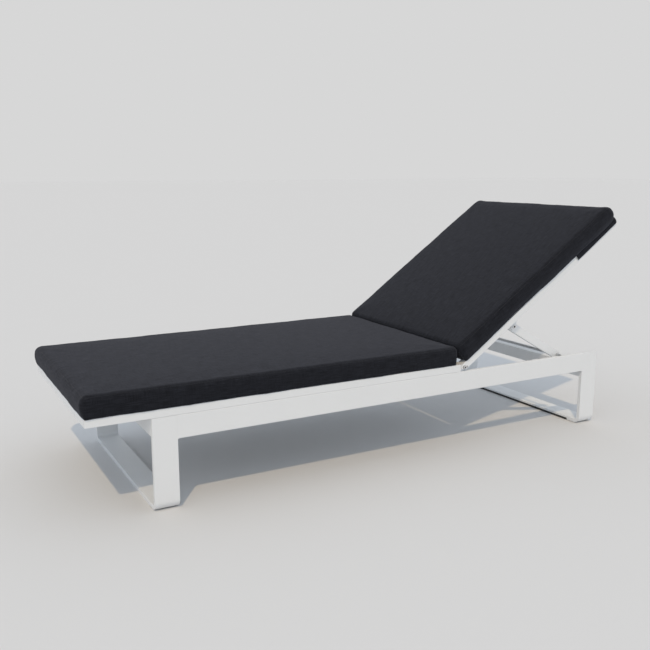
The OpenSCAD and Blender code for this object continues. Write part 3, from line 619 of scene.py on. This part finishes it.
SEAT_FORM = Form(
    start=-0.982, end=0.258,
    half=[(-0.982, 0.3565), (-0.36, 0.3555), (0.258, 0.3565)],
    tuck=[(-0.982, 0.0015), (-0.36, 0.0025), (0.15, 0.004), (0.258, 0.0045)],
    thick=[(-0.982, 0.0668), (0.258, 0.0663)], crown=0.004,
    swells=((0.0085, 0.0), (0.002, 0.5)), frame_end=-0.9803,
)
BACK_FORM = Form(
    start=0.015, end=0.818,
    half=[(0.015, 0.362), (0.12, 0.3645), (0.45, 0.3685), (0.79, 0.3715), (0.818, 0.369)],
    tuck=[(0.015, 0.008), (0.05, 0.0095), (0.12, 0.0135), (0.25, 0.0185), (0.35, 0.0215), (0.40, 0.0195),
          (0.44, 0.016), (0.52, 0.017), (0.60, 0.018), (0.818, 0.0195)],
    thick=[(0.015, 0.072), (0.78, 0.0745), (0.818, 0.0708)], crown=0.004,
    swells=((0.002, 0.5), (0.014, 0.6)),
)
seat_pad, seat_cover = cushion("seat_pad", SEAT_FORM, 9 * MM, on_seat, "base", seat_cloth, 3)
back_pad, back_cover = cushion("back_pad", BACK_FORM, 8 * MM, on_back, "backrest",
                               back_cloth, 8)


def make_room(obj):
    """A piece gets a copy of its mesh, its own."""
    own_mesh(obj)


make_room(seat_pad)

# Hood

HOOD_START, HOOD_END = 606 * MM, 828.3 * MM
HOOD_CORNER = 7 * MM
HOOD_SIDE_STEPS, HOOD_CORNER_STEPS = 28, 5
HOOD_CLOTH = 1.1 * MM
HOOD_TOP, HOOD_TOP_RISE = 22 * MM, 8 * MM
# At shares of the way down, how far the wall stands out from the frame's sides and from its head end
HOOD_DOWN = np.array([0.0, 0.11, 0.22, 0.33, 0.45, 0.58, 0.62, 0.75, 0.9, 1.0])
HOOD_SIDE_REACH = np.array([0.2, 1.6, 2.8, 3.4, 3.8, 4.0, 4.5, 4.6, 4.6, 3.9]) * MM
HOOD_HEAD_REACH = np.array([-5.0, -0.4, 4.0, 7.2, 8.9, 9.4, 9.9, 9.7, 9.0, 7.6]) * MM
HEM_ALONG = [605 * MM, 816 * MM, 834 * MM]
HEM_HEIGHT = [-5.1 * MM, -2.5 * MM, -1.2 * MM]
HOOD_WAVE = 0.3 * MM
HOOD_WAVES = [170 * MM, 97 * MM, 61 * MM]


def hood_path():
    """Line round the head end in plan, with its way out: two sides, an end and rounded corners."""
    side_end, corner = HOOD_END - HOOD_CORNER, FRAME_HALF - HOOD_CORNER
    along = np.linspace(HOOD_START, side_end, HOOD_SIDE_STEPS)
    near = np.stack([along, np.full(HOOD_SIDE_STEPS, -FRAME_HALF)], axis=-1)
    near_out = np.tile([0.0, -1.0], (HOOD_SIDE_STEPS, 1))
    turn = np.linspace(0, math.pi / 2, HOOD_CORNER_STEPS + 2)[1:-1]
    bend_out = np.stack([np.sin(turn), -np.cos(turn)], axis=-1)
    bend = np.array([side_end, -corner]) + HOOD_CORNER * bend_out
    across = np.linspace(-corner, corner, 2 * HOOD_SIDE_STEPS)
    head = np.stack([np.full(len(across), HOOD_END), across], axis=-1)
    head_out = np.tile([1.0, 0.0], (len(across), 1))
    mirror = np.array([1.0, -1.0])
    line = np.concatenate([near, bend, head, bend[::-1] * mirror, near[::-1] * mirror])
    out = np.concatenate([near_out, bend_out, head_out, bend_out[::-1] * mirror, near_out[::-1] * mirror])
    return line, out


def hood():
    """The hood's wall: the plan line carried down from inside the cushion's lower edge to the hem.

    From top to bottom the cloth comes out of the cushion, hangs close to the bar and steps out by half a
    millimetre where the folded hem begins. It stands off by slow waves that grow towards the hem. The hem
    rises a little towards the head end. Over the head end the wall starts higher and stands further out, as
    the cushion does there.
    """
    rng = np.random.default_rng(21)
    line, out = hood_path()
    run = distance_along(line)
    at_head = np.clip(out[:, :1], 0, 1)
    hem = np.interp(line[:, :1], HEM_ALONG, HEM_HEIGHT)
    top = HOOD_TOP + HOOD_TOP_RISE * at_head
    height = top + (hem - top) * HOOD_DOWN
    wave = HOOD_WAVE * waves(run, HOOD_WAVES, rng)[:, None] * HOOD_DOWN ** 2
    reach = HOOD_SIDE_REACH + (HOOD_HEAD_REACH - HOOD_SIDE_REACH) * at_head + wave
    plan = line[:, None, :] + out[:, None, :] * reach[..., None]
    points = back_to_row(np.concatenate([plan, height[..., None]], axis=-1))
    quads = grid_quads(*points.shape[:2])
    uv = np.stack(np.broadcast_arrays(run[:, None], height), axis=-1).reshape(-1, 2)
    obj = piece("hood_wall", points.reshape(-1, 3), quads, "backrest", back_cloth,
                uv[quads].reshape(-1, 2))
    thick = obj.modifiers.new("cloth", "SOLIDIFY")
    thick.thickness = HOOD_CLOTH
    thick.offset = -1
    smooth = obj.modifiers.new("smooth", "SUBSURF")
    smooth.levels = smooth.render_levels = 1
    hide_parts("cushion_hood")
    return obj, points.shape


hood_wall, hood_shape = hood()

# Stitches

STITCH_PITCH = 5.0 * MM
STITCH_L = 3.4 * MM
STITCH_R = 0.28 * MM
STITCH_SIDES = 6
STITCH_PLACES = (np.array([-1.0, -0.45, 0.45, 1.0]) + 1) * STITCH_L / 2
STITCH_RISE = np.array([-0.9, 0.35, 0.35, -0.9]) * STITCH_R
STITCH_GIRTH = np.array([0.45, 1.0, 1.0, 0.45]) * STITCH_R
SEAM_LIFT = 0.1 * MM
HEM_STITCH_DOWN = 0.75


def stitches(name, line, out, body):
    """Stitches laid end to end along a line, each a six-sided tube that dips into the cloth at its ends."""
    run = distance_along(line)
    start = np.arange(STITCH_PITCH, run[-1] - STITCH_PITCH, STITCH_PITCH)
    at = start[:, None] + STITCH_PLACES
    centre, up = (
        np.stack([np.interp(at, run, column) for column in rows.T], axis=-1) for rows in (line, out)
    )
    up = unit(up)
    centre = centre + up * STITCH_RISE[:, None]
    ahead = unit(centre[:, -1] - centre[:, 0])[:, None, :]
    side = unit(np.cross(up, ahead))
    turn = np.linspace(0, 2 * math.pi, STITCH_SIDES, endpoint=False)[:, None]
    ring = np.cos(turn) * side[:, :, None, :] + np.sin(turn) * up[:, :, None, :]
    tube = centre[:, :, None, :] + ring * STITCH_GIRTH[:, None, None]
    count, rings = at.shape
    first = STITCH_SIDES * rings * np.arange(count)
    quads = (tube_quads(rings, STITCH_SIDES) + first[:, None, None]).reshape(-1, 4)
    return piece(name, tube.reshape(-1, 3), quads, body, thread)


def seam_stitches(name, pad, cover, seam, body, turned=np.asarray):
    """Stitches round one of a cushion's seams. turned brings the cover's ways out into the row frame."""
    ring = cover.ring(seam)
    ring = np.append(ring, ring[0])
    out = turned(cover.normal[ring])
    line = final_points(pad, len(cover.normal))[ring] + out * SEAM_LIFT
    return stitches(name, line, out, body)


def hem_stitches(name, wall, shape, body):
    """Stitches along the hood's hem, three quarters of the way down its wall."""
    column = list(HOOD_DOWN).index(HEM_STITCH_DOWN)
    line = final_points(wall, shape[0] * shape[1]).reshape(shape)[:, column]
    ahead = unit(np.gradient(line, axis=0))
    return stitches(name, line, unit(np.cross(ahead, BACK_NORMAL)), body)


make_room(seam_stitches("seat_top_stitches", seat_pad, seat_cover, TOP_SEAM, "base"))
make_room(seam_stitches("seat_low_stitches", seat_pad, seat_cover, LOW_SEAM, "base"))
for name, seam in (("back_top_stitches", TOP_SEAM), ("back_low_stitches", LOW_SEAM)):
    seam_stitches(name, back_pad, back_cover, seam, "backrest", lean_back)
hem_stitches("hood_hem_stitches", hood_wall, hood_shape, "backrest")

# Weld beads

BEAD_R = 2.4 * MM
BEAD_PITCH = 2.6 * MM
BEAD_RIPPLE = 0.12
BEAD_RINGS_IN_RIPPLE, BEAD_SIDES = 6, 10
BEAD_STANDS_OUT = 0.3 * BEAD_R
BEAD_TIP_SHARE = 0.1
BEAD_END = 3 * MM
LEG_INSIDE = 337 * MM
BRACKET_ALONG = (228 * MM, 282 * MM)
BRACKET_FACES = (326.5 * MM, 332.5 * MM)
FRONT_BAR, REAR_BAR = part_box("front_cross_bar"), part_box("rear_cross_bar")


def bead(start, end, out):
    """Points of a fillet weld bead in an inside corner, from a start to an end, with out the way out of it.

    Along a bead the radius is BEAD_R (1 + BEAD_RIPPLE |sin(pi t / BEAD_PITCH)|), which gives the ripples of
    the weld pool, and it falls as a half ellipse to a tip at both ends.
    """
    length = np.linalg.norm(end - start)
    t = np.linspace(0, length, int(length / BEAD_PITCH * BEAD_RINGS_IN_RIPPLE))
    ahead, out = (end - start) / length, unit(out)
    inwards = np.clip(np.minimum(t, length - t) / BEAD_R, 0, 1)
    taper = np.sqrt(np.clip(1 - (1 - inwards) ** 2, BEAD_TIP_SHARE ** 2, 1))
    radius = BEAD_R * (1 + BEAD_RIPPLE * np.abs(np.sin(math.pi * t / BEAD_PITCH))) * taper
    turn = np.linspace(0, 2 * math.pi, BEAD_SIDES, endpoint=False)[:, None]
    ring = np.cos(turn) * out + np.sin(turn) * np.cross(ahead, out)
    centre = start + out * BEAD_STANDS_OUT + ahead * t[:, None]
    return centre[:, None, :] + ring * radius[:, None, None]


def beads(name, corners, body):
    """One piece of weld beads in inside corners, each given as a start, an end and a way out."""
    tubes = [bead(*(np.asarray(v, float) for v in corner)) for corner in corners]
    first = np.cumsum([0] + [len(tube) * BEAD_SIDES for tube in tubes[:-1]])
    quads = np.concatenate([tube_quads(len(tube), BEAD_SIDES) + n for tube, n in zip(tubes, first)])
    points = np.concatenate([tube.reshape(-1, 3) for tube in tubes])
    return piece(name, points, quads, body, weld_white)


def cross_bar_corners(side):
    """Corners of the cross bars with a leg's inside: under both bars, and over the rear one."""
    y = side * LEG_INSIDE
    for (lo, hi), up in ((FRONT_BAR, -1), (REAR_BAR, -1), (REAR_BAR, 1)):
        z = hi[2] if up > 0 else lo[2]
        yield (lo[0] + BEAD_END, y, z), (hi[0] - BEAD_END, y, z), (0, -side, up)


def bracket_corners(side):
    """Corners of a prop bracket's two faces with the underside of the back's side bar."""
    for face, away in zip(BRACKET_FACES, (-1, 1)):
        start, end = back_to_row([(along, side * face, -TUBE_H / 2) for along in BRACKET_ALONG])
        yield start, end, np.array([0.0, side * away, 0.0]) - BACK_NORMAL


beads("cross_bar_welds", [corner for side in (-1, 1) for corner in cross_bar_corners(side)], "base")
beads("bracket_welds", [corner for side in (-1, 1) for corner in bracket_corners(side)], "backrest")

# Camera, light and floor

LENS_MM, SENSOR_MM = 43.977, 36.0
CAMERA_AT = (-1.394199, -2.41699, 0.95353)
CAMERA_YAW = 0.504765
CAMERA_PITCH = 0.194099
SUN_TRAVEL = (0.455, 0.645, -1.0)
SUN_STRENGTH = 1.122
SUN_COLOUR = (1.0, 0.786, 0.525)
SUN_ANGLE = math.radians(1.0)
SKY_COLOUR = (0.70, 0.76, 0.835)
SKY_STRENGTH = 1.0
BACKDROP_GREY = 0.68
FLOOR_GREY = 0.68
FLOOR_HALF = 60.0


def add_camera():
    camera = stand("camera", bpy.data.cameras.new("camera"))
    camera.data.sensor_width = SENSOR_MM
    camera.data.lens = LENS_MM
    camera.location = CAMERA_AT
    camera.rotation_euler = (math.pi / 2 - CAMERA_PITCH, 0.0, -CAMERA_YAW)
    bpy.context.scene.camera = camera


def add_sun():
    sun = stand("sun", bpy.data.lights.new("sun", "SUN"))
    sun.data.energy = SUN_STRENGTH
    sun.data.angle = SUN_ANGLE
    sun.data.color = SUN_COLOUR
    sun.rotation_mode = "QUATERNION"
    sun.rotation_quaternion = Vector(SUN_TRAVEL).to_track_quat("-Z", "Y")


def add_sky():
    """Sky light on the lounger, and plain grey where the camera, a reflection or glass looks past it."""
    world = bpy.data.worlds.new("studio")
    bpy.context.scene.world = world
    n = Nodes(world)
    sky = n.tree.nodes["Background"]
    n.put(sky.inputs["Color"], shade(SKY_COLOUR))
    n.put(sky.inputs["Strength"], SKY_STRENGTH)
    plain = n.add("ShaderNodeBackground", {"Color": shade(BACKDROP_GREY)})
    ray = n.add("ShaderNodeLightPath").outputs
    seen = n.math("MAXIMUM", ray["Is Camera Ray"], ray["Is Transmission Ray"])
    either = n.math("MAXIMUM", seen, ray["Is Glossy Ray"])
    choose = n.add("ShaderNodeMixShader", {0: either, 1: sky.outputs[0], 2: plain.outputs[0]})
    n.put(n.tree.nodes["World Output"].inputs[0], choose.outputs[0])


def add_floor():
    """Wide plaster floor in a slightly uneven grey."""
    corners = [(x * FLOOR_HALF, y * FLOOR_HALF, 0) for x, y in ((-1, -1), (1, -1), (1, 1), (-1, 1))]
    mesh = bpy.data.meshes.new("floor")
    mesh.from_pydata(corners, [], [(0, 1, 2, 3)])
    floor = stand("floor", mesh)
    s = Shader("studio_floor")
    cloud = s.noise(s.where, 2.0, 2.0)
    mesh.materials.append(s.finish(
        Base_Color=s.mix(cloud, shade(FLOOR_GREY), shade(FLOOR_GREY, 1.006)),
        Roughness=0.95,
        Specular_IOR_Level=0.1,
    ))


add_camera()
add_sun()
add_sky()
add_floor()
bpy.context.scene.view_settings.view_transform = "Standard"
